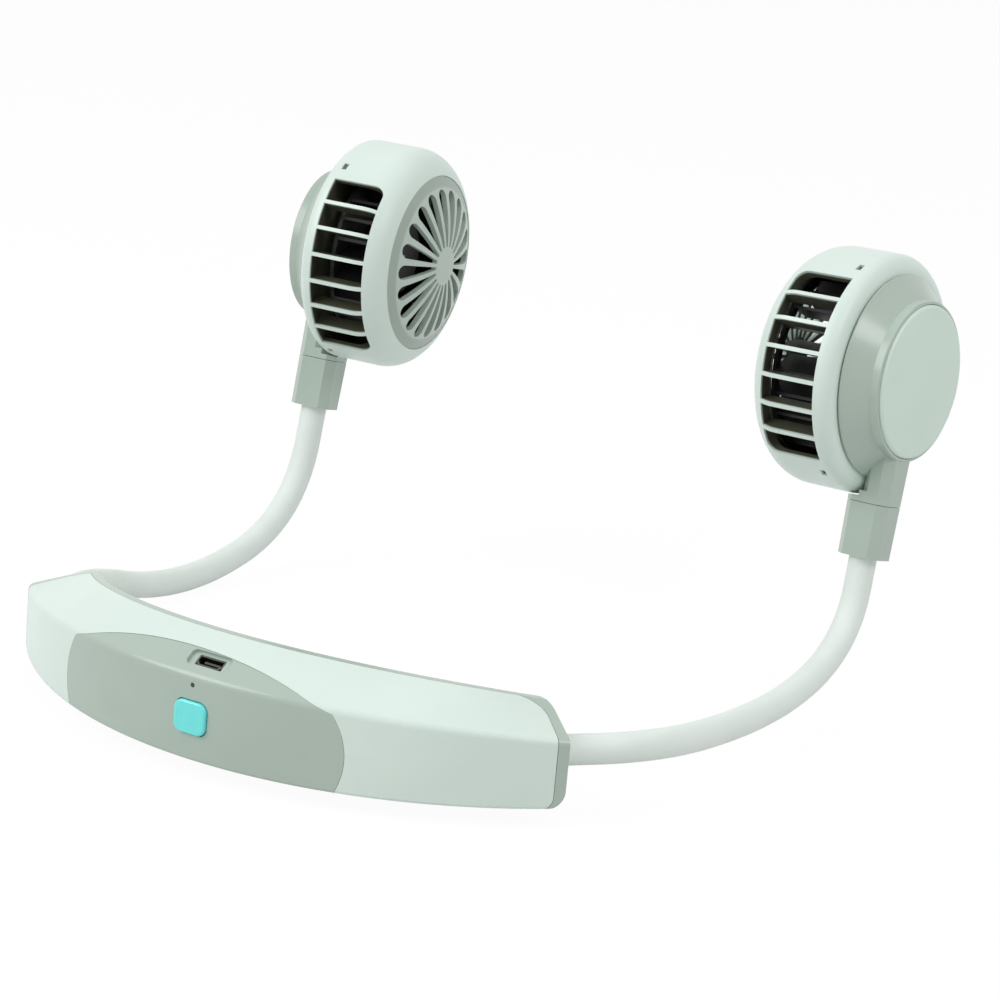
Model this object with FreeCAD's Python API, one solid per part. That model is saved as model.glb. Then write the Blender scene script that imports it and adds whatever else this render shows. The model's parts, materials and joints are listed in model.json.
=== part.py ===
import FreeCAD, Part
import math
import os

# Electric neck fan: a curved battery housing for the nape, two bendable arms and two turning blower heads.
# Millimetres. The origin is the middle of the housing's neck-side face, +Y points at the neck, +Z is up
# and +X is the wearer's right hand side. Both sides are built on +X, and the left one is mirrored.

# housing
NECK_R = 86.0                # neck-side face, about the centre of the curve
BODY_DEPTH = 20.4            # from that face to the outer one
OUTER_R = NECK_R + BODY_DEPTH
SEAM_share = 0.42            # where the two shells meet at the top, in the depth
SEAM_R = NECK_R + SEAM_share * BODY_DEPTH
SEAM_TAPER = 2.5             # how far the seam moves in at the ends
OUTER_SPREAD = 1.8           # how far the outer face stands out more at the ends
BODY_HALF_ANGLE = math.radians(50.1)
BODY_HEIGHT = 29.4
HEIGHT_TAPER = 7.8           # height lost at the ends
CREASE_HEIGHT = 21.3         # where the upright face turns into the sloping one
CREASE_TAPER = 4.2
REST_HEIGHT = 14.0           # origin above the underside
CREASE_ROUND = 2.0
EDGE_ROUND = 0.8
TOP_LAND = 2.5               # flat strip of the inner shell along the top
INNER_BROW = 9.0             # slope from that strip down to the neck-side face
INNER_FOOT = 5.0
INNER_FOOT_RUN = 4.0
INNER_ROUND = 2.0
SHELL_END_INSET = 2.9        # the inner shell shows as a border round the outer one
SHELL_END_ROUND = 7.0
BODY_END_ROUND = 10.0
SHELL_FOOT_ROUND = 3.0       # lower corner of each end
BODY_FOOT_ROUND = 4.5
WALL = 2.0
SEAM_GAP = 0.15
SECTION_shares = (-1, -2 / 3, -1 / 3, 0, 1 / 3, 2 / 3, 1)

# control panel, button, lamp and charging socket
PANEL_THICKNESS = 1.0
PANEL_GAP = 0.12
PANEL_MIDDLE = -3.4          # the panel reaches further to the wearer's left of the button
PANEL_FOOT_HALF = 40.5       # half width at the underside, at its widest and where the top arc starts
PANEL_HALF = 43.0
PANEL_CORNER_HALF = 39.5
PANEL_WIDEST_HEIGHT = 9.0
PANEL_CORNER_HEIGHT = 19.4
PANEL_HEIGHT = 25.9
BUTTON_WIDTH = 9.2
BUTTON_TALL = 8.2
BUTTON_ROUND = 2.2
BUTTON_HEIGHT = 10.9         # above the underside
BUTTON_PROUD = 0.9
BUTTON_TRAVEL = 0.5
BUTTON_GAP = 0.25
BUTTON_RIM = 1.2             # flange that keeps it in
BUTTON_FLANGE = 1.0
BUTTON_EDGE = 0.6
LAMP_R = 0.55
LAMP_HEIGHT = 19.0
LAMP_LENGTH = 3.2
LAMP_GAP = 0.05
SOCKET_X = 1.2
SOCKET_SLOPE_share = 0.38    # place on the sloping face, from the crease to the seam
SOCKET_RECESS_WIDTH = 12.0
SOCKET_RECESS_HEIGHT = 4.6
SOCKET_RECESS_DEPTH = 0.9
SOCKET_RECESS_ROUND = 1.4
SOCKET_WIDTH = 7.6
SOCKET_HEIGHT = 2.9
SOCKET_LENGTH = 5.6
SOCKET_SHEET = 0.35
SOCKET_CHAMFER = 0.9
SOCKET_GAP = 0.1
TONGUE_WIDTH = 4.6
TONGUE_HEIGHT = 0.6

# arms
ARM_R = 3.8
ARM_ROOT_share = 0.515       # where the arm leaves the housing's end, in its depth
ARM_ROOT_R = NECK_R + ARM_ROOT_share * BODY_DEPTH
ARM_ROOT_HEIGHT = 10.5
ARM_INSERT = 11.0            # length inside the housing
ARM_FIT = 0.05
CORE_R = 2.2
BALL_GAP = 0.3
CORE_END = 2.0               # solid sleeve behind each ball and cup
CLAMP_LENGTH = 3.8
CLAMP_SIZE = 9.4
CLAMP_GAP = 1.4              # clear of the rounded corner inside the end
ROOT_BEND_share = 0.45       # reach of each bend, as a share of the shorter run beside it
DIP_BEND_share = 0.85
RISE_BEND_share = 0.7

# inside the housing: the board lies between the two middle screws, a cell between each outer pair
SCREW_INNER_ANGLE = math.radians(14.2)
SCREW_END_CLEAR = 5.0        # from a screw's middle to the arm's inner end
SCREW_OUTER_ANGLE = BODY_HALF_ANGLE - (ARM_INSERT + SCREW_END_CLEAR) / ARM_ROOT_R
SCREW_ANGLES = (-SCREW_OUTER_ANGLE, -SCREW_INNER_ANGLE, SCREW_INNER_ANGLE, SCREW_OUTER_ANGLE)
BOARD_CLEAR = 3.3            # from the edge of the board to a screw's middle
BOARD_HEADROOM = 11.9        # height of the housing less that of the board
BOARD_HEIGHT = BODY_HEIGHT - BOARD_HEADROOM
BOARD_THICKNESS = 1.6
BOARD_DEPTH = 11.4           # front face behind the outer face of the housing
BOARD_R = OUTER_R - BOARD_DEPTH
BOARD_WIDTH = 2 * (BOARD_R * math.sin(SCREW_INNER_ANGLE) - BOARD_CLEAR)
BOARD_FOOT = 3.0             # above the underside
BOARD_SCREW_EDGE = 4.0       # from a board screw to the end of the board
BOARD_SCREW_X = BOARD_WIDTH / 2 - BOARD_SCREW_EDGE
BOARD_SCREW_HEIGHT = 10.9
BOARD_SCREW_R = 0.9
BOARD_HEAD_R = 1.7
BOARD_HEAD = 1.2
BOARD_SCREW_LENGTH = 6.0
BOARD_BOSS_R = 2.2
SWITCH_SIZE = 6.0
SWITCH_HEIGHT = 3.5
SWITCH_STEM_R = 1.7
STEM_GAP = 0.1
CHIP_SIZE = 6.0
CHIP_HEIGHT = 1.2
COIL_SIZE = 5.0
COIL_HEIGHT = 3.0
PLUG_WIDTH = 6.0
PLUG_HEIGHT = 4.0
COMPONENT_PITCH = 7.5
CELL_CLEAR = 4.2             # from the end of a cell to a screw's middle
CELL_THICKNESS = 9.0
CELL_HEIGHT = 15.0
CELL_ROUND = 2.0
CELL_DEPTH = 9.9
CELL_R = OUTER_R - CELL_DEPTH
CELL_ANGLE = (SCREW_INNER_ANGLE + SCREW_OUTER_ANGLE) / 2
CELL_LENGTH = CELL_R * (SCREW_OUTER_ANGLE - SCREW_INNER_ANGLE) - 2 * CELL_CLEAR
SEAT_GAP = 0.05
LEAD_DROP = 15.2             # the leads run that far below the top, above the screws
LEAD_HEIGHT = BODY_HEIGHT - LEAD_DROP
LEAD_RISE = 4.2              # from the screws' middle up to the leads
SCREW_HEIGHT = LEAD_HEIGHT - LEAD_RISE
SCREW_R = 1.2
SCREW_HEAD_R = 2.2
SCREW_HEAD = 1.8
SCREW_LENGTH = 10.0
SCREW_BOSS_R = 2.4
SCREW_WALL = 1.0
INNER_BOSS = 2.4             # inner shell's boss behind its wall
LEAD_R = 0.8
LEAD_START_ANGLE = math.radians(9.0)
LEAD_TURN = 2.6              # where a lead turns across, before the arm's inner end
LEAD_END_ANGLE = BODY_HALF_ANGLE - (ARM_INSERT + LEAD_TURN) / ARM_ROOT_R

# heads: distances along the fan axis count outwards from the back edge of the air window
HEAD_INSET = 1.1             # the heads stand a little nearer together than the ends of the curve
HEAD_X = NECK_R - HEAD_INSET
HEAD_Y = 165.6
HEAD_TOE = math.radians(6.2)
HEAD_TILT = math.radians(1.6)
NECK_LEAN = math.radians(11.0)
DRUM_R = 33.0
DRUM_WALL = 1.8
DRUM_FRONT = 22.6            # front rim
DRUM_FRONT_ROUND = 10.0
WINDOW_LENGTH = 16.7
WINDOW_ANGLE = math.radians(97.0)
WINDOW_ROUND = 3.0
SLAT_COUNT = 6
SLAT_THICKNESS = 1.1
SLAT_DEPTH = 4.6
CATCH_LENGTH = 1.6           # pry slots in the drum's edge, beyond each end of the window
CATCH_WIDTH = 2.6
CATCH_DEPTH = 0.8
CATCH_ANGLE = math.radians(9.0)
BACK_EDGE = 4.4
BACK_ROUND = 4.0
BACK_RIM_R = DRUM_R - BACK_ROUND
WEB_START = 0.6
WEB_THICKNESS = 2.0
BOSS_R = 16.0
BOSS_WALL = 3.0
BOSS_FIT = 0.08
HUB_BASE = 4.7
HUB_GAP = 0.5                # between the hub's foot and the round of the drum's back
HUB_BASE_R = BACK_RIM_R - HUB_GAP
HUB_TOP = 11.2
HUB_TOP_R = 21.6
HUB_FLOOR = 2.0
HUB_HOLLOW_R = 17.0
COLLAR_R = 22.0              # raised edge of the hub round the disc
COLLAR_TOP = 13.3
COLLAR_FOOT = 10.2
DISC_R = 21.0
DISC_TOP = 14.1
DISC_ROUND = 0.9
DISC_SPIGOT = 1.0
DISC_FIT = 0.1
GRILLE_INSET = 6.9           # from the drum's edge to the grille's
GRILLE_R = DRUM_R - GRILLE_INSET
GRILLE_PLANE = 21.0
GRILLE_RISE = 5.9
GRILLE_THICKNESS = 1.6
GRILLE_FIT = 0.1
GRILLE_LEDGE = 1.8
GRILLE_HUB_R = 5.8
SLOT_COUNT = 20
GRILLE_BORDER = 3.7          # plain rim beyond the slots
SLOT_OUTER_R = GRILLE_R - GRILLE_BORDER
SPOKE_ROOT = 1.0
SPOKE_TIP = 2.0
STOP_INNER_R = 22.0
STOP_OUTER_R = 25.0
STOP_ANGLE = math.radians(28.0)
STOP_GAP = 0.2
FRICTION_INNER_R = 17.5
FRICTION_OUTER_R = 20.5
RUN_GAP = 0.15               # along the axis between turning and fixed faces
RETAINER_R = 19.5
RETAINER_THICKNESS = 1.5
RETAINER_SCREW_COUNT = 3
RETAINER_SCREW_R = 0.8
RETAINER_HEAD_R = 1.5
RETAINER_HEAD = 0.9
RETAINER_SCREW_LENGTH = 4.0
MOTOR_R = 8.5
MOTOR_LENGTH = 8.0
SHAFT_R = 0.75
SHAFT_LENGTH = 12.5
SHAFT_FIT = 0.05
IMPELLER_INSET = 7.5         # from the drum's outside to the blades' ends
IMPELLER_R = DRUM_R - IMPELLER_INSET
IMPELLER_PLATE = 1.2
IMPELLER_START = 2.6
IMPELLER_END = 17.5
IMPELLER_RING = 1.0
IMPELLER_RING_WIDTH = 2.2
IMPELLER_CUP_GAP = 0.8
IMPELLER_CUP_WALL = 1.2
IMPELLER_CUP_LENGTH = 9.4
BLADE_COUNT = 26
BLADE_THICKNESS = 0.9
BLADE_LENGTH = 8.5
BLADE_INNER_R = IMPELLER_R - BLADE_LENGTH
BLADE_SWEEP = math.radians(32.0)
NECK_OUTER = 13.0            # outer face of the neck and the arm socket
NECK_DEPTH = 8.2
ARM_SOCKET_DEPTH = 12.6
NECK_WIDTH = 12.6
NECK_FOOT_WIDTH = 10.8
NECK_CHAMFER = 2.4
SPLIT_DROP = 1.6             # seam between bracket and socket, below the drum's edge
NECK_SPLIT = DRUM_R + SPLIT_DROP
NECK_SEAM = 0.15
SHOULDER_GAP = 0.4           # between the turning drum and the neck's wide end
SHOULDER_RISE = 1.6          # how far that end reaches up round the drum
ARM_SOCKET_LENGTH = 14.7
NECK_FOOT = NECK_SPLIT + ARM_SOCKET_LENGTH
NECK_TOP = 15.0              # where the neck grows out of the hub
SOCKET_GRIP = 11.5
NECK_LEAD_FIT = 0.5
NECK_LEAD_STATION = 7.9
NECK_LEAD_OFFSET = -1.6      # to the rear of the neck's middle
NECK_SCREW_OFFSET = 1.9
NECK_SCREW_R = 0.9
NECK_SCREW_HEAD_R = 1.5
NECK_SCREW_LENGTH = 6.0
NECK_SCREW_HEAD = 1.0

OVERRUN = 1.0                # how far cutting shapes pass the faces they cut
HUB_LEAD_R = 10.0            # where the motor leads pass the retainer

# what differs between the two sides: head height, where the arm's dip lies, how far below the socket it turns
# up, and how far the air window is turned up from the rear
LEFT_HEAD_Z = 76.6
LEFT_DIP_share = 0.5755      # lowest corner of the arm, as a share of the way to the head
LEFT_DIP_Z = -17.7
LEFT_DROP = 34.2
LEFT_WINDOW_TURN = math.radians(-2.0)
RIGHT_HEAD_Z = 70.7
RIGHT_DIP_share = 0.646
RIGHT_DIP_Z = -10.8
RIGHT_DROP = 24.8
RIGHT_WINDOW_TURN = math.radians(9.0)
SIDES = {
    "left": {"head_z": LEFT_HEAD_Z, "dip_y": LEFT_DIP_share * HEAD_Y, "dip_z": LEFT_DIP_Z,
             "drop": LEFT_DROP, "window_turn": LEFT_WINDOW_TURN},
    "right": {"head_z": RIGHT_HEAD_Z, "dip_y": RIGHT_DIP_share * HEAD_Y, "dip_z": RIGHT_DIP_Z,
              "drop": RIGHT_DROP, "window_turn": RIGHT_WINDOW_TURN},
}

Vec = FreeCAD.Vector
ORIGIN = Vec(0, 0, 0)
AXIS_X = Vec(1, 0, 0)
AXIS_Y = Vec(0, 1, 0)
AXIS_Z = Vec(0, 0, 1)
UNDERSIDE = -REST_HEIGHT
SHELL_HALF_ANGLE = BODY_HALF_ANGLE - SHELL_END_INSET / OUTER_R
CAVITY_HALF_ANGLE = SHELL_HALF_ANGLE - WALL / SEAM_R


def corner_arc(before, corner, after, radius):
    """Start, middle and end of the arc that rounds a corner."""
    back = (before - corner).normalize()
    ahead = (after - corner).normalize()
    half = back.getAngle(ahead) / 2
    reach = radius / math.tan(half)
    middle = corner + (back + ahead).normalize() * (radius / math.sin(half) - radius)
    return corner + back * reach, middle, corner + ahead * reach


def rounded_wire(points, radii):
    """Closed outline with the given radius at each corner."""
    arcs = []
    for i, (point, radius) in enumerate(zip(points, radii)):
        after = points[(i + 1) % len(points)]
        arcs.append(corner_arc(points[i - 1], point, after, radius) if radius else (point, point, point))
    edges = []
    for i, arc in enumerate(arcs):
        if radii[i]:
            edges.append(Part.Arc(*arc).toShape())
        edges.append(Part.makeLine(arc[2], arcs[(i + 1) % len(arcs)][0]))
    return Part.Wire(edges)


def prism(wire, direction):
    return Part.Face(wire).extrude(direction)


def fused(shapes):
    return shapes[0].multiFuse(shapes[1:]).removeSplitter()


def mirrored(shape):
    return shape.mirror(ORIGIN, AXIS_X)


def both_ends(shape):
    return [shape, mirrored(shape)]


def centred_box(size_x, size_y, size_z, centre):
    """Box centred in X and Z, standing from its centre point along +Y."""
    return Part.makeBox(size_x, size_y, size_z, centre - Vec(size_x / 2, 0, size_z / 2))


# Housing

def on_curve(radius, angle, z):
    """Point at an angle from the rear, about the centre of the housing's curve."""
    return Vec(radius * math.sin(angle), NECK_R - radius * math.cos(angle), z)


def outward(angle):
    return Vec(math.sin(angle), -math.cos(angle), 0)


def along(angle):
    return Vec(math.cos(angle), math.sin(angle), 0)


def taper(angle):
    return (angle / BODY_HALF_ANGLE) ** 2


def seam_r(angle):
    return SEAM_R - SEAM_TAPER * taper(angle)


def outer_r(angle):
    return OUTER_R + OUTER_SPREAD * taper(angle)


def crease_z(angle):
    return UNDERSIDE + CREASE_HEIGHT - CREASE_TAPER * taper(angle)


def top_z(angle):
    return UNDERSIDE + BODY_HEIGHT - HEIGHT_TAPER * taper(angle)


def curved_solid(section, half_angle):
    """Loft of a section given as corners (radius, z) and corner radii at each angle."""
    wires = []
    for share in SECTION_shares:
        angle = half_angle * share
        corners, radii = section(angle)
        wires.append(rounded_wire([on_curve(r, angle, z) for r, z in corners], radii))
    return Part.makeLoft(wires, True, False)


def outer_section(angle):
    corners = [(seam_r(angle), UNDERSIDE), (outer_r(angle), UNDERSIDE), (outer_r(angle), crease_z(angle)),
               (seam_r(angle), top_z(angle))]
    return corners, (0, EDGE_ROUND, CREASE_ROUND, 0)


def inside_section(depth, base):
    """Section at a depth below the outer shell's skin, from a base upwards and open towards the seam."""
    def section(angle):
        run = outer_r(angle) - seam_r(angle)
        rise = top_z(angle) - crease_z(angle)
        drop = depth * math.hypot(rise, run) / run
        skin_r = outer_r(angle) - depth
        open_r = seam_r(angle) - OVERRUN
        shoulder = crease_z(angle) + rise * depth / run - drop
        corners = [(open_r, base), (skin_r, base), (skin_r, shoulder),
                   (open_r, shoulder + rise * (skin_r - open_r) / run)]
        return corners, (0, 0, 0, 0)
    return section


def full_section(angle):
    corners = [(NECK_R, UNDERSIDE + INNER_FOOT), (NECK_R + INNER_FOOT_RUN, UNDERSIDE),
               (outer_r(angle), UNDERSIDE), (outer_r(angle), crease_z(angle)), (seam_r(angle), top_z(angle)),
               (seam_r(angle) - TOP_LAND, top_z(angle)), (NECK_R, top_z(angle) - INNER_BROW)]
    return corners, (INNER_ROUND, INNER_ROUND, EDGE_ROUND, CREASE_ROUND, 0, EDGE_ROUND, INNER_ROUND)


def inner_cavity_section(angle):
    open_r = seam_r(angle) + OVERRUN
    inner_r = NECK_R + WALL
    corners = [(inner_r, UNDERSIDE + INNER_FOOT), (NECK_R + INNER_FOOT_RUN, UNDERSIDE + WALL),
               (open_r, UNDERSIDE + WALL), (open_r, top_z(angle) - WALL),
               (seam_r(angle) - TOP_LAND, top_z(angle) - WALL), (inner_r, top_z(angle) - INNER_BROW)]
    return corners, (0, 0, 0, 0, 0, 0)


def outer_place_section(angle):
    """Everything outside the seam: the room that the outer shell takes."""
    low = UNDERSIDE - OVERRUN
    high = UNDERSIDE + BODY_HEIGHT + OVERRUN
    near_r = seam_r(angle) - SEAM_GAP
    far_r = outer_r(angle) + OVERRUN
    return [(near_r, low), (far_r, low), (far_r, high), (near_r, high)], (0, 0, 0, 0)


def end_corner(radius, half_angle, rounding):
    """Cutter that rounds the upright corner at one end of the housing, at the given curve radius."""
    low = UNDERSIDE - 2 * OVERRUN
    height = BODY_HEIGHT + 4 * OVERRUN
    block = Part.makeBox(rounding + OVERRUN, rounding + OVERRUN, height, Vec(-rounding, -rounding, low))
    corner = block.cut(Part.makeCylinder(rounding, height, Vec(-rounding, -rounding, low)))
    corner.Placement = FreeCAD.Placement(on_curve(radius, half_angle, 0),
                                         FreeCAD.Rotation(AXIS_Z, math.degrees(half_angle)))
    return corner


def end_foot(half_angle, rounding, grow):
    """Cutter that rounds the lower corner at one end of the housing, over its whole thickness."""
    length = OUTER_R + OUTER_SPREAD - NECK_R + 2 * OVERRUN
    start = OVERRUN - length
    low = -2 * OVERRUN
    block = Part.makeBox(rounding + OVERRUN, length, rounding - low, Vec(-rounding, start, low))
    corner = block.cut(Part.makeCylinder(rounding + grow, length, Vec(-rounding, start, rounding), AXIS_Y))
    corner.Placement = FreeCAD.Placement(on_curve(NECK_R, half_angle, UNDERSIDE),
                                         FreeCAD.Rotation(AXIS_Z, math.degrees(half_angle)))
    return corner


def panel_prism(grow):
    """Lens-shaped panel outline, pushed through the front of the housing."""
    def place(half, height):
        return Vec(PANEL_MIDDLE + half, NECK_R - OUTER_R - OVERRUN, UNDERSIDE + height)
    foot, widest, corner = PANEL_FOOT_HALF + grow, PANEL_HALF + grow, PANEL_CORNER_HALF + grow
    low, middle, high = -OVERRUN, PANEL_WIDEST_HEIGHT, PANEL_CORNER_HEIGHT
    apex = place(0, PANEL_HEIGHT + grow)
    edges = [Part.makeLine(place(-foot, low), place(foot, low)),
             Part.Arc(place(foot, low), place(widest, middle), place(corner, high)).toShape(),
             Part.Arc(place(corner, high), apex, place(-corner, high)).toShape(),
             Part.Arc(place(-corner, high), place(-widest, middle), place(-foot, low)).toShape()]
    return prism(Part.Wire(edges), AXIS_Y * (OUTER_R - SEAM_R + OVERRUN))


def button_outline(grow, rounding, y):
    """Rounded rectangle about the button's middle, larger than the cap by a margin all round."""
    z = UNDERSIDE + BUTTON_HEIGHT
    half = BUTTON_WIDTH / 2 + grow
    low, high = z - BUTTON_TALL / 2 - grow, z + BUTTON_TALL / 2 + grow
    points = [Vec(-half, y, low), Vec(half, y, low), Vec(half, y, high), Vec(-half, y, high)]
    return rounded_wire(points, [rounding] * len(points))


def button_hole():
    start = NECK_R - OUTER_R - BUTTON_PROUD - OVERRUN
    depth = BUTTON_PROUD + WALL + 2 * OVERRUN
    return prism(button_outline(BUTTON_GAP, BUTTON_ROUND + BUTTON_GAP, start), AXIS_Y * depth)


def lamp_rod(radius, beyond):
    """Light pipe through panel and wall, passing them by a length at each end."""
    start = NECK_R - OUTER_R - beyond
    return Part.makeCylinder(radius, LAMP_LENGTH + 2 * beyond, Vec(0, start, UNDERSIDE + LAMP_HEIGHT), AXIS_Y)


def socket_placement():
    """On the sloping face above the button, with the local Z axis pointing out of it."""
    run = OUTER_R - SEAM_R
    rise = BODY_HEIGHT - CREASE_HEIGHT
    point = on_curve(OUTER_R - run * SOCKET_SLOPE_share, 0,
                     UNDERSIDE + CREASE_HEIGHT + rise * SOCKET_SLOPE_share)
    point.x = SOCKET_X
    return FreeCAD.Placement(point, FreeCAD.Rotation(AXIS_X, math.degrees(math.atan2(rise, run))))


def socket_block(width, height, low, high, rounding):
    """Upright block in the socket's local frame, rounded at its four corners."""
    x, y = width / 2, height / 2
    points = [Vec(-x, -y, low), Vec(x, -y, low), Vec(x, y, low), Vec(-x, y, low)]
    return prism(rounded_wire(points, [rounding] * len(points)), AXIS_Z * (high - low))


def socket_hole():
    recess = socket_block(SOCKET_RECESS_WIDTH, SOCKET_RECESS_HEIGHT, -SOCKET_RECESS_DEPTH, WALL,
                          SOCKET_RECESS_ROUND)
    width = SOCKET_WIDTH + 2 * SOCKET_GAP
    height = SOCKET_HEIGHT + 2 * SOCKET_GAP
    through = socket_block(width, height, -WALL - SOCKET_LENGTH, WALL, SOCKET_GAP)
    hole = recess.fuse(through)
    hole.Placement = socket_placement()
    return hole


def usb_socket():
    """Sheet metal shell with one side narrowed, and the contact tongue standing on its back wall."""
    def shell(width, height, low, high):
        x, y, cut = width / 2, height / 2, SOCKET_CHAMFER
        points = [Vec(cut - x, -y, low), Vec(x - cut, -y, low), Vec(x, cut - y, low), Vec(x, y, low),
                  Vec(-x, y, low), Vec(-x, cut - y, low)]
        return prism(Part.makePolygon(points + points[:1]), AXIS_Z * (high - low))
    mouth = -SOCKET_RECESS_DEPTH
    back = mouth - SOCKET_LENGTH
    outer = shell(SOCKET_WIDTH, SOCKET_HEIGHT, back, mouth)
    room = shell(SOCKET_WIDTH - 2 * SOCKET_SHEET, SOCKET_HEIGHT - 2 * SOCKET_SHEET, back + SOCKET_SHEET,
                 mouth + OVERRUN)
    tongue = Part.makeBox(TONGUE_WIDTH, TONGUE_HEIGHT, SOCKET_LENGTH - OVERRUN,
                          Vec(-TONGUE_WIDTH / 2, 0, back))
    socket = outer.cut(room).fuse(tongue).removeSplitter()
    socket.Placement = socket_placement()
    return socket


def radial_post(radius, inner_r, outer_r, angle):
    """Round post across the housing's wall, at the height of the housing screws."""
    return Part.makeCylinder(radius, outer_r - inner_r, on_curve(inner_r, angle, UNDERSIDE + SCREW_HEIGHT),
                             outward(angle))


def arm_root():
    """Where the right arm crosses the housing's end, and its direction there."""
    return on_curve(ARM_ROOT_R, BODY_HALF_ANGLE, UNDERSIDE + ARM_ROOT_HEIGHT), along(BODY_HALF_ANGLE)


def arm_bore(radius):
    root, direction = arm_root()
    length = ARM_INSERT + 2 * OVERRUN
    return Part.makeCylinder(radius, length, root - direction * ARM_INSERT, direction)


def board_y():
    return NECK_R - BOARD_R


def board_screw_places():
    z = UNDERSIDE + BOARD_SCREW_HEIGHT
    return [Vec(-BOARD_SCREW_X, board_y(), z), Vec(BOARD_SCREW_X, board_y(), z)]


def outer_shell():
    shell = curved_solid(outer_section, SHELL_HALF_ANGLE)
    shell = shell.cut(curved_solid(inside_section(WALL, UNDERSIDE + WALL), CAVITY_HALF_ANGLE))
    shell = shell.cut(both_ends(end_corner(seam_r(SHELL_HALF_ANGLE), SHELL_HALF_ANGLE, SHELL_END_ROUND)))
    shell = shell.cut(both_ends(end_foot(SHELL_HALF_ANGLE, SHELL_FOOT_ROUND, 0)))
    boss_end = NECK_R + WALL + INNER_BOSS + SEAM_GAP
    posts = [radial_post(SCREW_BOSS_R, boss_end, outer_r(angle) - WALL / 2, angle) for angle in SCREW_ANGLES]
    for place in board_screw_places():
        wall_y = NECK_R - math.sqrt((OUTER_R - WALL / 2) ** 2 - BOARD_SCREW_X ** 2)
        foot = Vec(place.x, wall_y, place.z)
        posts.append(Part.makeCylinder(BOARD_BOSS_R, board_y() - wall_y, foot, AXIS_Y))
    shell = shell.multiFuse(posts)
    floor = curved_solid(inside_section(PANEL_THICKNESS, UNDERSIDE - OVERRUN), SHELL_HALF_ANGLE)
    cuts = [panel_prism(PANEL_GAP).cut(floor), button_hole(), socket_hole()]
    cuts.append(lamp_rod(LAMP_R + LAMP_GAP, OVERRUN))
    cuts += [radial_post(SCREW_R + SEAT_GAP, NECK_R, NECK_R + WALL + SCREW_LENGTH + OVERRUN, angle)
             for angle in SCREW_ANGLES]
    cuts += [Part.makeCylinder(BOARD_SCREW_R + SEAT_GAP, BOARD_SCREW_LENGTH + OVERRUN, place, -AXIS_Y)
             for place in board_screw_places()]
    cuts += both_ends(arm_bore(ARM_R + SEAM_GAP))
    return shell.cut(cuts).removeSplitter()


def inner_shell():
    shell = curved_solid(full_section, BODY_HALF_ANGLE)
    shell = shell.cut(both_ends(end_corner(NECK_R, BODY_HALF_ANGLE, BODY_END_ROUND)))
    shell = shell.cut(both_ends(end_foot(BODY_HALF_ANGLE, BODY_FOOT_ROUND, 0)))
    half_angle = SHELL_HALF_ANGLE + SEAM_GAP / OUTER_R
    place = curved_solid(outer_place_section, half_angle)
    corner_r = seam_r(half_angle) - SEAM_GAP
    place = place.cut(both_ends(end_corner(corner_r, half_angle, SHELL_END_ROUND)))
    place = place.cut(both_ends(end_foot(SHELL_HALF_ANGLE, SHELL_FOOT_ROUND, SEAM_GAP)))
    shell = shell.cut([place, curved_solid(inner_cavity_section, CAVITY_HALF_ANGLE)])
    posts = [radial_post(SCREW_HEAD_R + SCREW_WALL, NECK_R + WALL / 2, NECK_R + WALL + INNER_BOSS, angle)
             for angle in SCREW_ANGLES]
    shell = shell.multiFuse(posts)
    cuts = [radial_post(SCREW_HEAD_R + SEAM_GAP, NECK_R - OVERRUN, NECK_R + WALL, angle)
            for angle in SCREW_ANGLES]
    cuts += [radial_post(SCREW_R + SEAM_GAP, NECK_R, SEAM_R, angle) for angle in SCREW_ANGLES]
    cuts += both_ends(arm_bore(ARM_R + ARM_FIT))
    return shell.cut(cuts).removeSplitter()


def control_panel():
    panel = curved_solid(outer_section, SHELL_HALF_ANGLE).common(panel_prism(0))
    floor = curved_solid(inside_section(PANEL_THICKNESS, UNDERSIDE - OVERRUN), SHELL_HALF_ANGLE)
    return panel.cut([floor, button_hole(), lamp_rod(LAMP_R + LAMP_GAP, OVERRUN), socket_hole()])


def power_button():
    """Cap through the panel with a flange behind the wall, pressed along +Y."""
    front = NECK_R - OUTER_R - BUTTON_PROUD
    flange_half = BUTTON_WIDTH / 2 + BUTTON_RIM
    wall_y = NECK_R - math.sqrt((OUTER_R - WALL) ** 2 - flange_half ** 2) + BUTTON_GAP
    cap = prism(button_outline(0, BUTTON_ROUND, front), AXIS_Y * (wall_y - front))
    rim = [e for e in cap.Edges if max(v.Y for v in e.Vertexes) < front + BUTTON_EDGE]
    cap = cap.makeFillet(BUTTON_EDGE, rim)
    flange = prism(button_outline(BUTTON_RIM, BUTTON_ROUND, wall_y), AXIS_Y * BUTTON_FLANGE)
    return cap.fuse(flange).removeSplitter(), wall_y + BUTTON_FLANGE


def tact_switch(button_back):
    z = UNDERSIDE + BUTTON_HEIGHT
    stem_y = button_back + BUTTON_TRAVEL + STEM_GAP
    body = centred_box(SWITCH_SIZE, SWITCH_HEIGHT, SWITCH_SIZE, Vec(0, board_y() - SWITCH_HEIGHT, z))
    stem = Part.makeCylinder(SWITCH_STEM_R, board_y() - stem_y, Vec(0, stem_y, z), AXIS_Y)
    return body.fuse(stem).removeSplitter()


def control_board():
    low = UNDERSIDE + BOARD_FOOT
    board = Part.makeBox(BOARD_WIDTH, BOARD_THICKNESS, BOARD_HEIGHT, Vec(-BOARD_WIDTH / 2, board_y(), low))
    radius = BOARD_SCREW_R + SEAM_GAP
    holes = [Part.makeCylinder(radius, 2 * BOARD_THICKNESS, place - AXIS_Y * SEAM_GAP, AXIS_Y)
             for place in board_screw_places()]
    return board.cut(holes)


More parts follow.
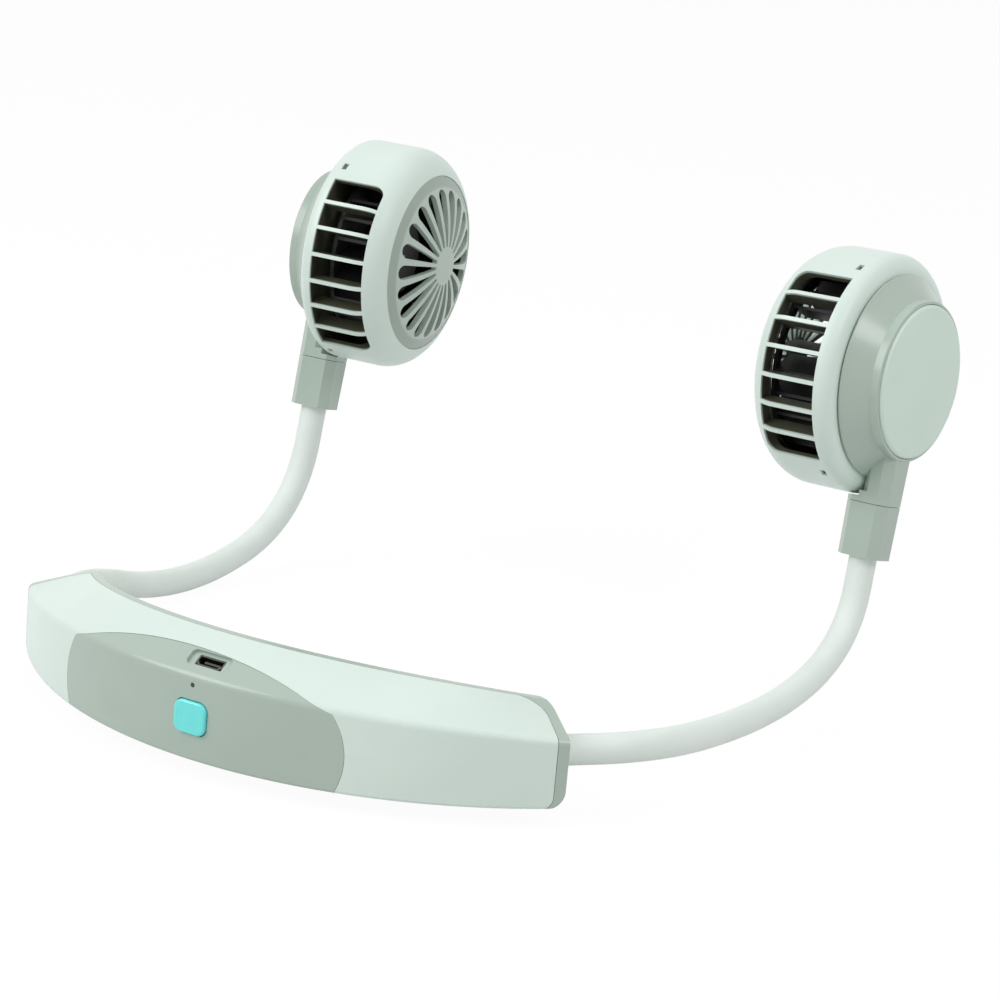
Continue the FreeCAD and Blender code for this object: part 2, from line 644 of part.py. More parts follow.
def board_components():
    """Charge chip, converter coil and the plugs of the leads, on the board's neck side."""
    back = board_y() + BOARD_THICKNESS
    z = UNDERSIDE + BOARD_FOOT + BOARD_HEIGHT / 2
    top = UNDERSIDE + BOARD_FOOT + BOARD_HEIGHT - PLUG_HEIGHT / 2
    parts = [centred_box(CHIP_SIZE, CHIP_HEIGHT, CHIP_SIZE, Vec(-COMPONENT_PITCH / 2, back, z)),
             centred_box(COIL_SIZE, COIL_HEIGHT, COIL_SIZE, Vec(COMPONENT_PITCH / 2, back, z)),
             centred_box(PLUG_WIDTH, COIL_HEIGHT, PLUG_HEIGHT, Vec(-COMPONENT_PITCH * 3 / 2, back, top)),
             centred_box(PLUG_WIDTH, COIL_HEIGHT, PLUG_HEIGHT, Vec(COMPONENT_PITCH * 3 / 2, back, top))]
    return Part.makeCompound(parts)


def board_screws():
    screws = []
    for place in board_screw_places():
        back = place + AXIS_Y * BOARD_THICKNESS
        shank = Part.makeCylinder(BOARD_SCREW_R, BOARD_SCREW_LENGTH + BOARD_THICKNESS, back, -AXIS_Y)
        screws.append(shank.fuse(Part.makeCylinder(BOARD_HEAD_R, BOARD_HEAD, back, AXIS_Y)).removeSplitter())
    return Part.makeCompound(screws)


def housing_screws():
    screws = []
    for angle in SCREW_ANGLES:
        head_top = NECK_R + WALL
        shank = radial_post(SCREW_R, head_top, head_top + SCREW_LENGTH, angle)
        head = radial_post(SCREW_HEAD_R, head_top - SCREW_HEAD, head_top, angle)
        screws.append(shank.fuse(head).removeSplitter())
    return Part.makeCompound(screws)


def battery_cell():
    """Soft-cornered pouch cell of the right half, set on the outer shell's floor."""
    low = UNDERSIDE + WALL + SEAT_GAP
    half = CELL_LENGTH / 2
    points = [Vec(-half, 0, 0), Vec(half, 0, 0), Vec(half, CELL_THICKNESS, 0), Vec(-half, CELL_THICKNESS, 0)]
    cell = prism(rounded_wire(points, [CELL_ROUND] * len(points)), AXIS_Z * CELL_HEIGHT)
    cell.Placement = FreeCAD.Placement(on_curve(CELL_R + CELL_THICKNESS / 2, CELL_ANGLE, low),
                                       FreeCAD.Rotation(AXIS_Z, math.degrees(CELL_ANGLE)))
    return cell


def body_lead():
    """Lead of the right fan along the neck-side wall, then across to the arm's inner end."""
    z = UNDERSIDE + LEAD_HEIGHT
    radius = NECK_R + WALL + LEAD_R + SEAT_GAP
    start = on_curve(radius, LEAD_START_ANGLE, z)
    turn = on_curve(radius, LEAD_END_ANGLE, z)
    section = Part.Face(Part.Wire(Part.makeCircle(LEAD_R, start, along(LEAD_START_ANGLE))))
    sweep = math.degrees(LEAD_END_ANGLE - LEAD_START_ANGLE)
    run = section.revolve(on_curve(0, 0, 0), AXIS_Z, sweep)
    root, direction = arm_root()
    end = root - direction * (ARM_INSERT + SEAT_GAP)
    crossing = Part.makeCylinder(LEAD_R, (end - turn).Length, turn, end - turn)
    crossing = crossing.cut(Part.makeCylinder(ARM_R, ARM_INSERT, end, direction))
    return fused([run, Part.makeSphere(LEAD_R, turn), crossing])


def arm_clamp():
    """Block that grips the right arm's inner end, against the outer shell's end wall."""
    root, direction = arm_root()
    end_angle = BODY_HALF_ANGLE - CAVITY_HALF_ANGLE
    wall = (ARM_ROOT_R + CLAMP_SIZE / 2) * math.tan(end_angle)
    half = CLAMP_SIZE / 2
    block = Part.makeBox(CLAMP_LENGTH, CLAMP_SIZE, CLAMP_SIZE, Vec(-CLAMP_LENGTH, -half, -half))
    block.Placement = FreeCAD.Placement(root - direction * (wall + CLAMP_GAP),
                                        FreeCAD.Rotation(AXIS_Z, math.degrees(BODY_HALF_ANGLE)))
    return block.cut(arm_bore(ARM_R + ARM_FIT))


# Heads, built about the local X axis and then set in place

def head_placement(side):
    turn = FreeCAD.Rotation(AXIS_Z, -math.degrees(HEAD_TOE)).multiply(
        FreeCAD.Rotation(AXIS_Y, -math.degrees(HEAD_TILT)))
    return FreeCAD.Placement(Vec(HEAD_X, HEAD_Y, SIDES[side]["head_z"]), turn)


def neck_up():
    return Vec(0, math.sin(NECK_LEAN), math.cos(NECK_LEAN))


def neck_ahead():
    return Vec(0, math.cos(NECK_LEAN), -math.sin(NECK_LEAN))


def neck_point(distance, station, offset):
    """Point at a distance down the leaning neck and a station along the fan axis, set ahead by an offset."""
    return AXIS_X * station - neck_up() * distance + neck_ahead() * offset


def arm_station():
    return NECK_OUTER - ARM_SOCKET_DEPTH / 2


def turned(points, radii):
    """Solid of revolution about the fan axis from corners (station, radius)."""
    wire = rounded_wire([Vec(u, r, 0) for u, r in points], radii)
    return Part.Face(wire).revolve(ORIGIN, AXIS_X, 360)


def ring(inner_r, outer_r, start, end):
    solid = Part.makeCylinder(outer_r, end - start, Vec(start, 0, 0), AXIS_X)
    if inner_r:
        length = end - start + 2 * OVERRUN
        solid = solid.cut(Part.makeCylinder(inner_r, length, Vec(start - OVERRUN, 0, 0), AXIS_X))
    return solid


def sector(inner_r, outer_r, start, end, middle, width):
    """Piece of a ring about the fan axis; angles count from +Y towards +Z."""
    points = [Vec(start, inner_r, 0), Vec(end, inner_r, 0), Vec(end, outer_r, 0), Vec(start, outer_r, 0)]
    face = Part.Face(Part.makePolygon(points + points[:1]))
    face.rotate(ORIGIN, AXIS_X, math.degrees(middle - width / 2))
    return face.revolve(ORIGIN, AXIS_X, math.degrees(width))


def neck_section(distance, depth, width):
    """Chamfered rectangle across the neck's line."""
    x, y, cut = depth / 2, width / 2, NECK_CHAMFER
    places = [(cut - x, -y), (x - cut, -y), (x, cut - y), (x, y - cut),
              (x - cut, y), (cut - x, y), (-x, y - cut), (-x, cut - y)]
    points = [neck_point(distance, NECK_OUTER - x + a, b) for a, b in places]
    return Part.makePolygon(points + points[:1])


def neck_width(distance):
    share = (distance - NECK_TOP) / (NECK_FOOT - NECK_TOP)
    return NECK_WIDTH + (NECK_FOOT_WIDTH - NECK_WIDTH) * share


def neck_length(top, foot, depth):
    wires = [neck_section(top, depth, neck_width(top)), neck_section(foot, depth, neck_width(foot))]
    return Part.makeLoft(wires, True, True)


def neck_bore(radius, top, foot, station, offset):
    return Part.makeCylinder(radius, foot - top, neck_point(foot, station, offset), neck_up())


def lead_bore(radius, top, foot):
    return neck_bore(radius, top, foot, NECK_LEAD_STATION, NECK_LEAD_OFFSET)


def lead_crossing(radius, start, end):
    """Where the motor's lead runs along the fan axis, from one station to another."""
    return Part.makeCylinder(radius, end - start, neck_point(HUB_LEAD_R, start, NECK_LEAD_OFFSET), AXIS_X)


def neck_angle():
    """Where the neck lies about the fan axis, from +Y towards +Z."""
    return -math.pi / 2 - NECK_LEAN


def retainer_end():
    return WEB_START - RUN_GAP


def retainer_screw_angles():
    return [neck_angle() + math.pi * (2 * i + 1) / RETAINER_SCREW_COUNT for i in range(RETAINER_SCREW_COUNT)]


def axial_post(radius, station, length, ring_r, angle):
    place = Vec(station, ring_r * math.cos(angle), ring_r * math.sin(angle))
    return Part.makeCylinder(radius, length, place, AXIS_X)


def head_bracket():
    """Cone hub with the boss that the drum turns on, its stop lug, and the upper half of the neck."""
    floor = HUB_BASE + HUB_FLOOR
    cone = turned([(HUB_BASE, 0), (HUB_TOP, 0), (HUB_TOP, HUB_TOP_R), (HUB_BASE, HUB_BASE_R)],
                  (0, 0, 0, EDGE_ROUND / 2))
    seat_r = DISC_R + SEAM_GAP
    collar = turned([(COLLAR_FOOT, seat_r), (COLLAR_TOP, seat_r),
                     (COLLAR_TOP, COLLAR_R), (COLLAR_FOOT, COLLAR_R)], (0, 0, EDGE_ROUND / 2, 0))
    neck = neck_length(NECK_TOP, NECK_SPLIT - NECK_SEAM, NECK_DEPTH)
    neck = neck.cut(ring(0, seat_r, HUB_TOP, DISC_TOP))
    shoulder = neck_length(DRUM_R - SHOULDER_RISE, NECK_SPLIT - NECK_SEAM, ARM_SOCKET_DEPTH)
    shoulder = shoulder.cut(ring(0, DRUM_R + SHOULDER_GAP, NECK_OUTER - ARM_SOCKET_DEPTH - OVERRUN,
                                 NECK_OUTER - NECK_DEPTH))
    boss = ring(0, BOSS_R, retainer_end(), HUB_BASE + EDGE_ROUND)
    stop = sector(STOP_INNER_R, STOP_OUTER_R, WEB_START + WEB_THICKNESS + STOP_GAP, HUB_BASE + EDGE_ROUND,
                  neck_angle(), STOP_ANGLE)
    hub = fused([cone, collar, neck, shoulder, boss, stop])
    cuts = [ring(0, HUB_HOLLOW_R, floor, HUB_TOP + OVERRUN),
            ring(0, BOSS_R - BOSS_WALL, retainer_end() - OVERRUN, floor),
            lead_bore(LEAD_R + NECK_LEAD_FIT, HUB_LEAD_R, NECK_SPLIT)]
    screw_r = RETAINER_SCREW_R + SEAT_GAP
    screw_length = RETAINER_SCREW_LENGTH + OVERRUN
    cuts += [axial_post(screw_r, retainer_end() - OVERRUN, screw_length, BOSS_R - BOSS_WALL / 2, angle)
             for angle in retainer_screw_angles()]
    cuts.append(neck_screw_post(NECK_SCREW_R + SEAT_GAP))
    return hub.cut(cuts).removeSplitter()


def neck_screw_post(radius):
    """Screw up through the socket's shoulder into the bracket, ahead of the lead."""
    return Part.makeCylinder(radius, NECK_SCREW_LENGTH, neck_screw_base(), neck_up())


def neck_screw_base():
    return neck_point(neck_pocket_end() - NECK_SCREW_HEAD, arm_station(), NECK_SCREW_OFFSET)


def neck_pocket_end():
    """Top of the room that the arm is pushed into."""
    return NECK_FOOT - SOCKET_GRIP


def arm_socket():
    socket = neck_length(NECK_SPLIT, NECK_FOOT, ARM_SOCKET_DEPTH)
    return socket.cut([neck_bore(ARM_R + ARM_FIT, neck_pocket_end(), NECK_FOOT + OVERRUN, arm_station(), 0),
                       lead_bore(LEAD_R + NECK_LEAD_FIT, NECK_SPLIT - OVERRUN, neck_pocket_end()),
                       neck_screw_post(NECK_SCREW_R + SEAM_GAP),
                       Part.makeCylinder(NECK_SCREW_HEAD_R + SEAT_GAP, NECK_SCREW_HEAD + SEAT_GAP,
                                         neck_screw_base() - neck_up() * SEAT_GAP, neck_up())])


def neck_screw():
    base = neck_screw_base()
    shank = Part.makeCylinder(NECK_SCREW_R, NECK_SCREW_LENGTH - OVERRUN, base, neck_up())
    return shank.fuse(Part.makeCylinder(NECK_SCREW_HEAD_R, NECK_SCREW_HEAD, base, neck_up())).removeSplitter()


def cover_disc():
    disc = turned([(HUB_TOP, 0), (DISC_TOP, 0), (DISC_TOP, DISC_R), (HUB_TOP, DISC_R)], (0, 0, DISC_ROUND, 0))
    spigot_r = HUB_HOLLOW_R - DISC_FIT
    return disc.fuse(ring(spigot_r - WALL, spigot_r, HUB_TOP - DISC_SPIGOT, HUB_TOP)).removeSplitter()


def friction_ring():
    return ring(FRICTION_INNER_R, FRICTION_OUTER_R, WEB_START + WEB_THICKNESS + RUN_GAP, HUB_BASE)


def drum_retainer():
    """Plate on the boss that keeps the drum on and carries the motor."""
    start = retainer_end() - RETAINER_THICKNESS
    cuts = [axial_post(RETAINER_SCREW_R + SEAM_GAP, start - OVERRUN, RETAINER_THICKNESS + 2 * OVERRUN,
                       BOSS_R - BOSS_WALL / 2, angle) for angle in retainer_screw_angles()]
    cuts.append(lead_crossing(LEAD_R + SEAM_GAP, start - OVERRUN, retainer_end() + OVERRUN))
    return ring(SHAFT_R + SEAM_GAP, RETAINER_R, start, retainer_end()).cut(cuts)


def retainer_screws():
    start = retainer_end() - RETAINER_THICKNESS
    screws = []
    for angle in retainer_screw_angles():
        ring_r = BOSS_R - BOSS_WALL / 2
        length = RETAINER_THICKNESS + RETAINER_SCREW_LENGTH - OVERRUN
        shank = axial_post(RETAINER_SCREW_R, start, length, ring_r, angle)
        head = axial_post(RETAINER_HEAD_R, start - RETAINER_HEAD, RETAINER_HEAD, ring_r, angle)
        screws.append(shank.fuse(head).removeSplitter())
    return Part.makeCompound(screws)


def motor_face():
    return retainer_end() - RETAINER_THICKNESS


def fan_motor():
    body = ring(SHAFT_R + SHAFT_FIT, MOTOR_R, motor_face() - MOTOR_LENGTH, motor_face())
    middle = motor_face() - MOTOR_LENGTH / 2
    rim = [e for e in body.Edges if e.BoundBox.XMax < middle and e.BoundBox.YLength > MOTOR_R]
    return body.makeChamfer(EDGE_ROUND, rim)


def motor_shaft():
    return ring(0, SHAFT_R, motor_face() - SHAFT_LENGTH, motor_face())


def impeller():
    """Backplate near the hub, swept blades, a ring at their tips, and a cup over the motor."""
    cup_r = MOTOR_R + IMPELLER_CUP_GAP
    plate_end = -IMPELLER_START - IMPELLER_PLATE
    cup_end = -IMPELLER_START - IMPELLER_CUP_LENGTH
    pieces = [ring(cup_r, IMPELLER_R, plate_end, -IMPELLER_START),
              ring(cup_r, cup_r + IMPELLER_CUP_WALL, cup_end, -IMPELLER_START),
              ring(SHAFT_R, cup_r + IMPELLER_CUP_WALL, cup_end - IMPELLER_CUP_WALL, cup_end),
              ring(IMPELLER_R - IMPELLER_RING_WIDTH, IMPELLER_R, -IMPELLER_END, IMPELLER_RING - IMPELLER_END)]
    length = IMPELLER_R - BLADE_INNER_R
    blade = Part.makeBox(IMPELLER_END + plate_end, length / math.cos(BLADE_SWEEP), BLADE_THICKNESS,
                         Vec(-IMPELLER_END, 0, -BLADE_THICKNESS / 2))
    blade.rotate(ORIGIN, AXIS_X, math.degrees(BLADE_SWEEP))
    blade.translate(AXIS_Y * BLADE_INNER_R)
    blade = blade.common(ring(0, IMPELLER_R, -IMPELLER_END, plate_end))
    for i in range(BLADE_COUNT):
        copy = blade.copy()
        copy.rotate(ORIGIN, AXIS_X, 360 * i / BLADE_COUNT)
        pieces.append(copy)
    return fused(pieces)


def motor_lead():
    """Lead from the motor through the retainer and the boss, then down the neck to the arm."""
    turn = neck_point(HUB_LEAD_R, NECK_LEAD_STATION, NECK_LEAD_OFFSET)
    across = lead_crossing(LEAD_R, motor_face(), NECK_LEAD_STATION)
    down = lead_bore(LEAD_R, HUB_LEAD_R, neck_pocket_end() - SEAT_GAP)
    return fused([across, Part.makeSphere(LEAD_R, turn), down])


def drum_outline():
    """Corners and corner radii of the drum's outer form, closed on the axis."""
    return [(0, 0), (0, DRUM_R), (-DRUM_FRONT, DRUM_R), (-DRUM_FRONT, 0)], (0, 0, DRUM_FRONT_ROUND, 0)


def drum_shell(turn):
    """Front shell with the grille seat, and the air window with its slats open towards the back edge."""
    form = turned(*drum_outline())
    seat_r = GRILLE_R + GRILLE_FIT
    ledge = GRILLE_PLANE - GRILLE_THICKNESS / 2
    inner_r = DRUM_R - DRUM_WALL
    room = turned([(OVERRUN, 0), (OVERRUN, inner_r), (DRUM_WALL - ledge, inner_r), (DRUM_WALL - ledge, 0)],
                  (0, 0, DRUM_FRONT_ROUND - DRUM_WALL, 0))
    mouth = ring(0, seat_r - GRILLE_LEDGE, -DRUM_FRONT, 0)
    seat = ring(0, seat_r, -DRUM_FRONT - OVERRUN, -ledge)
    window = sector(inner_r - SLAT_DEPTH, DRUM_R + OVERRUN, -WINDOW_LENGTH, OVERRUN, math.pi, WINDOW_ANGLE)
    front = [e for e in window.Edges if e.BoundBox.XMax < SEAT_GAP - WINDOW_LENGTH]
    window = window.makeFillet(WINDOW_ROUND, [e for e in front if e.Curve.TypeId == "Part::GeomLine"])
    shell = form.cut([room, mouth, seat, window])
    slats = []
    for i in range(SLAT_COUNT):
        angle = WINDOW_ANGLE * ((i + 1) / (SLAT_COUNT + 1) - 1 / 2)
        slat = Part.makeBox(WINDOW_LENGTH + DRUM_WALL, SLAT_DEPTH, SLAT_THICKNESS,
                            Vec(-WINDOW_LENGTH - DRUM_WALL, -DRUM_R, -SLAT_THICKNESS / 2))
        slat.rotate(ORIGIN, AXIS_X, -math.degrees(angle))
        slats.append(slat.common(form))
    shell = shell.multiFuse(slats).removeSplitter()
    beyond = WINDOW_ANGLE / 2 + CATCH_ANGLE
    catches = [sector(DRUM_R - CATCH_DEPTH, DRUM_R + OVERRUN, -CATCH_LENGTH, OVERRUN,
                      math.pi + angle, CATCH_WIDTH / DRUM_R) for angle in (-beyond, beyond)]
    shell = shell.cut(catches)
    shell.rotate(ORIGIN, AXIS_X, -math.degrees(turn))
    return shell


def drum_back_ring():
    """Ring that closes the drum behind the window, with the web that turns on the boss and its stop lug."""
    inner_r = DRUM_R - DRUM_WALL
    rim = turned([(0, inner_r), (0, DRUM_R), (BACK_EDGE, DRUM_R), (BACK_EDGE, BACK_RIM_R - DRUM_WALL),
                  (WEB_START + WEB_THICKNESS, BACK_RIM_R - DRUM_WALL), (WEB_START, inner_r)],
                 (0, 0, BACK_ROUND, 0, 0, 0))
    web = ring(BOSS_R + BOSS_FIT, inner_r - SEAT_GAP, WEB_START, WEB_START + WEB_THICKNESS)
    opposite = neck_angle() + math.pi
    stop = sector(STOP_INNER_R, STOP_OUTER_R, WEB_START, HUB_BASE - STOP_GAP, opposite, STOP_ANGLE)
    return fused([rim, web, stop])


def slot_cutter():
    """One slot between two spokes, wider towards the rim and round at its outer end."""
    pitch = 2 * math.pi / SLOT_COUNT
    inner_half = GRILLE_HUB_R * math.tan(pitch / 2) - SPOKE_ROOT / 2
    end_half = SLOT_OUTER_R * math.tan(pitch / 2) - SPOKE_TIP / 2
    shoulder = SLOT_OUTER_R - end_half
    shoulder_half = shoulder * math.tan(pitch / 2) - SPOKE_TIP / 2
    near = -GRILLE_PLANE + GRILLE_THICKNESS
    places = [(GRILLE_HUB_R, -inner_half), (shoulder, -shoulder_half), (SLOT_OUTER_R, 0),
              (shoulder, shoulder_half), (GRILLE_HUB_R, inner_half)]
    points = [Vec(near, y, z) for y, z in places]
    edges = [Part.makeLine(points[0], points[1]), Part.Arc(*points[1:4]).toShape(),
             Part.makeLine(points[3], points[4]), Part.makeLine(points[4], points[0])]
    return prism(Part.Wire(edges), AXIS_X * -(GRILLE_RISE + 2 * GRILLE_THICKNESS))


def inlet_grille():
    """Domed disc with radial slots, its edge sitting on the drum's ledge."""
    ball_r = (GRILLE_R ** 2 + GRILLE_RISE ** 2) / (2 * GRILLE_RISE)
    centre = Vec(ball_r - GRILLE_RISE - GRILLE_PLANE, 0, 0)
    half = GRILLE_THICKNESS / 2
    dome = Part.makeSphere(ball_r + half, centre).cut(Part.makeSphere(ball_r - half, centre))
    dome = dome.common(ring(0, GRILLE_R, -GRILLE_PLANE - GRILLE_RISE - GRILLE_THICKNESS, half - GRILLE_PLANE))
    slot = slot_cutter()
    slots = []
    for i in range(SLOT_COUNT):
        copy = slot.copy()
        copy.rotate(ORIGIN, AXIS_X, 360 * i / SLOT_COUNT)
        slots.append(copy)
    return dome.cut(slots)


# Arms

def arm_points(side):
    """Corners of an arm's route, from its inner end in the housing to its end in the head's socket."""
    values = SIDES[side]
    root, direction = arm_root()
    placement = head_placement(side)
    foot = placement.multVec(neck_point(NECK_FOOT, arm_station(), 0))
    tip = placement.multVec(neck_point(neck_pocket_end(), arm_station(), 0))
    up = (tip - foot).normalize()
    rise = foot - up * values["drop"]
    dip = Vec(rise.x, values["dip_y"], values["dip_z"])
    bend = root + direction * ((dip.x - root.x) / direction.x)
    return [root - direction * ARM_INSERT, bend, dip, rise, tip], values["drop"]


def arm_edges(side):
    """Straight runs and tangent arcs of an arm, as edges in order."""
    points, drop = arm_points(side)
    runs = [(b - a).Length for a, b in zip(points, points[1:])]
    rise_reach = RISE_BEND_share * drop
    dip_reach = DIP_BEND_share * min(runs[1], runs[2] - rise_reach)
    reaches = [ROOT_BEND_share * min(runs[0], runs[1]), dip_reach, rise_reach]
    arcs = []
    for i, reach in enumerate(reaches, 1):
        half = (points[i - 1] - points[i]).getAngle(points[i + 1] - points[i]) / 2
        arcs.append(corner_arc(points[i - 1], points[i], points[i + 1], reach * math.tan(half)))
    edges = []
    start = points[0]
    for arc in arcs:
        edges.append(Part.makeLine(start, arc[0]))
        edges.append(Part.Arc(*arc).toShape())
        start = arc[2]
    edges.append(Part.makeLine(start, points[-1]))
    return edges


ARM_PIECES = {"root": (0, 1), "lower": (1, 4), "middle": (4, 6), "upper": (6, 7)}


def edge_ends(edge):
    return edge.valueAt(edge.FirstParameter), edge.valueAt(edge.LastParameter)


def tube(edges, radius):
    """Round bar along straight runs and arcs."""
    pieces = []
    for edge in edges:
        start, end = edge_ends(edge)
        direction = edge.tangentAt(edge.FirstParameter)
        if edge.Curve.TypeId == "Part::GeomLine":
            pieces.append(Part.makeCylinder(radius, edge.Length, start, direction))
        else:
            face = Part.Face(Part.Wire(Part.makeCircle(radius, start, direction)))
            axis = direction.cross(edge.Curve.Center - start)
            sweep = math.degrees(edge.Length / edge.Curve.Radius)
            pieces.append(face.revolve(edge.Curve.Center, axis, sweep))
    return fused(pieces) if len(pieces) > 1 else pieces[0]


def arm_piece(side, name):
    """Sleeve and core of one stretch of an arm: a ball at its start, a cup at its end."""
    first, last = ARM_PIECES[name]
    edges = arm_edges(side)[first:last]
    start, end = edge_ends(edges[0])[0], edge_ends(edges[-1])[1]
    sleeve = tube(edges, ARM_R)
    bore = tube(edges, CORE_R + ARM_FIT)
    core = tube(edges, CORE_R)
    if name != "root":
        sleeve = sleeve.fuse(Part.makeSphere(ARM_R, start)).removeSplitter()
        bore = bore.cut(Part.makeSphere(ARM_R + CORE_END, start))
        core = core.cut(Part.makeSphere(ARM_R + CORE_END + ARM_FIT, start))
    if name != "upper":
        sleeve = sleeve.cut(Part.makeSphere(ARM_R + BALL_GAP, end))
        bore = bore.cut(Part.makeSphere(ARM_R + BALL_GAP + CORE_END, end))
        core = core.cut(Part.makeSphere(ARM_R + BALL_GAP + CORE_END + ARM_FIT, end))
    return sleeve.cut(bore), core


# All pieces

def housing_nodes():
    button, button_back = power_button()
    return {
        "outer_shell": outer_shell(), "inner_shell": inner_shell(), "control_panel": control_panel(),
        "power_button": button, "tact_switch": tact_switch(button_back), "led_lens": lamp_rod(LAMP_R, 0),
        "usb_socket": usb_socket(), "control_board": control_board(), "board_components": board_components(),
        "board_screws": board_screws(), "housing_screws": housing_screws(),
        "battery_cells": Part.makeCompound(both_ends(battery_cell())),
        "arm_clamps": Part.makeCompound(both_ends(arm_clamp())),
        "housing_leads": Part.makeCompound(both_ends(body_lead())),
    }


def head_pieces(side):
    return {
        "head_bracket": head_bracket(), "arm_socket": arm_socket(), "neck_screw": neck_screw(),
        "cover_disc": cover_disc(), "friction_ring": friction_ring(), "drum_retainer": drum_retainer(),
        "retainer_screws": retainer_screws(), "fan_motor": fan_motor(), "motor_shaft": motor_shaft(),
        "impeller": impeller(), "motor_lead": motor_lead(), "drum_back_ring": drum_back_ring(),
        "drum_shell": drum_shell(SIDES[side]["window_turn"]), "inlet_grille": inlet_grille(),
    }


def side_nodes(side):
    nodes = {}
    for name, shape in head_pieces(side).items():
        shape.Placement = head_placement(side).multiply(shape.Placement)
        nodes[name] = shape
    for name in ARM_PIECES:
        nodes["arm_sleeve_" + name], nodes["arm_core_" + name] = arm_piece(side, name)
    if side == "left":
        nodes = {name: mirrored(shape) for name, shape in nodes.items()}
    return {side + "_" + name: shape for name, shape in nodes.items()}


def main():
    os.makedirs("parts", exist_ok=True)
    nodes = housing_nodes()
    for side in SIDES:
        nodes.update(side_nodes(side))
    for name, shape in nodes.items():
        shape.exportStep("parts/" + name + ".step")


main()
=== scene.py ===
import json
import math

import bpy
from mathutils import Matrix, Vector


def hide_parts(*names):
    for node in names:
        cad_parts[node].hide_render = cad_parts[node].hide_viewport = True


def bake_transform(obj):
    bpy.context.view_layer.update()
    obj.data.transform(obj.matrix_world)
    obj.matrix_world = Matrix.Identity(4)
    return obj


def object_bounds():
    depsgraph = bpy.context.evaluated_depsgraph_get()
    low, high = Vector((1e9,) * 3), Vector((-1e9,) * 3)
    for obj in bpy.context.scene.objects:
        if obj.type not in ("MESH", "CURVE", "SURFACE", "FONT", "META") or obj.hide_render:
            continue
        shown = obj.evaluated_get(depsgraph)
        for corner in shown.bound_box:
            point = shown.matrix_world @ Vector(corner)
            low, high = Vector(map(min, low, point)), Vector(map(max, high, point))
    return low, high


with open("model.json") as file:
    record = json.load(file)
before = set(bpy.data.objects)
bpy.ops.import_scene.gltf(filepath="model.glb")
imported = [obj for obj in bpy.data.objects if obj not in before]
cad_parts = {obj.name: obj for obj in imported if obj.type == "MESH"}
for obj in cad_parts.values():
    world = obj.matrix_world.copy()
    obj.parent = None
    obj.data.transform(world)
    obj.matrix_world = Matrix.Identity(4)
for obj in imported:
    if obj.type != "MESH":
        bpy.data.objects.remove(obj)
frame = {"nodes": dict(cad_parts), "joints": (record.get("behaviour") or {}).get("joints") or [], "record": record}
cad_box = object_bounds()
scene = bpy.context.scene

JOINTS = {joint["name"]: joint for joint in frame["joints"]}
SIDES = {"left": -1, "right": 1}


# Materials: sizes in metres

NOISE_LOW, NOISE_HIGH = 0.3, 0.7     # most of a noise lies between these
GRAIN = 0.0006                       # spark grain of moulded plastic
GRAIN_DEPTH = GRAIN / 8
GLOSS_SPREAD = 0.03
DRIFT_PATCH = 0.03                   # patches in which a plastic's colour drifts
DRIFT = 0.03
DRUM_SHADE_DEPTHS = (0.0004, 0.0009)         # depth at which a drum's pale surface turns to the painted shade inside it
INSIDE_SHADE_DRIFT = 0.2
GRILLE_SLOTS_END = 0.0226            # from the fan axis
GRILLE_SHADE = 0.0008                # width of the change to the painted shade on the rim


def start_material(name, rough, metallic=0.0, specular=0.5):
    material = bpy.data.materials.new(name)
    material.use_nodes = True
    tree = material.node_tree
    shader = tree.nodes["Principled BSDF"]
    shader.inputs["Roughness"].default_value = rough
    shader.inputs["Metallic"].default_value = metallic
    shader.inputs["Specular IOR Level"].default_value = specular
    return material, tree, shader


def noise(tree, size, detail=2.0):
    """Noise with patches of that size, fixed to the piece."""
    place = tree.nodes.new("ShaderNodeTexCoord")
    pattern = tree.nodes.new("ShaderNodeTexNoise")
    pattern.inputs["Scale"].default_value = 1 / size
    pattern.inputs["Detail"].default_value = detail
    tree.links.new(place.outputs["Object"], pattern.inputs["Vector"])
    return pattern.outputs["Fac"]


def shades(tree, pattern, low, high):
    """Colour that goes from low to high with a noise."""
    ramp = tree.nodes.new("ShaderNodeValToRGB")
    first, last = ramp.color_ramp.elements
    first.position = NOISE_LOW
    last.position = NOISE_HIGH
    first.color = (*low, 1)
    last.color = (*high, 1)
    tree.links.new(pattern, ramp.inputs["Fac"])
    return ramp.outputs["Color"]


def ranged(tree, value, start, end, low=0.0, high=1.0):
    """Value that goes from low to high as another goes from start to end."""
    node = tree.nodes.new("ShaderNodeMapRange")
    node.inputs["From Min"].default_value = start
    node.inputs["From Max"].default_value = end
    node.inputs["To Min"].default_value = low
    node.inputs["To Max"].default_value = high
    tree.links.new(value, node.inputs["Value"])
    return node.outputs["Result"]


def gloss(tree, shader, pattern, low, high):
    """Roughness that follows a noise."""
    rough = ranged(tree, pattern, NOISE_LOW, NOISE_HIGH, low, high)
    tree.links.new(rough, shader.inputs["Roughness"])


def relief(tree, shader, height, depth, strength):
    bump = tree.nodes.new("ShaderNodeBump")
    bump.inputs["Strength"].default_value = strength
    bump.inputs["Distance"].default_value = depth
    tree.links.new(height, bump.inputs["Height"])
    tree.links.new(bump.outputs["Normal"], shader.inputs["Normal"])


def tint(colour, share):
    return tuple(min(1.0, c * share) for c in colour)


def drifting(tree, colour, drift=DRIFT):
    """Colour that drifts a little over the surface."""
    patches = noise(tree, DRIFT_PATCH, detail=3.0)
    return shades(tree, patches, tint(colour, 1 - drift), tint(colour, 1 + drift))


def plastic_grain(tree, shader, rough, strength):
    """Fine spark grain of a moulded surface, with gloss that follows it."""
    fine = noise(tree, GRAIN)
    gloss(tree, shader, fine, rough - GLOSS_SPREAD, rough + GLOSS_SPREAD)
    relief(tree, shader, fine, GRAIN_DEPTH, strength)


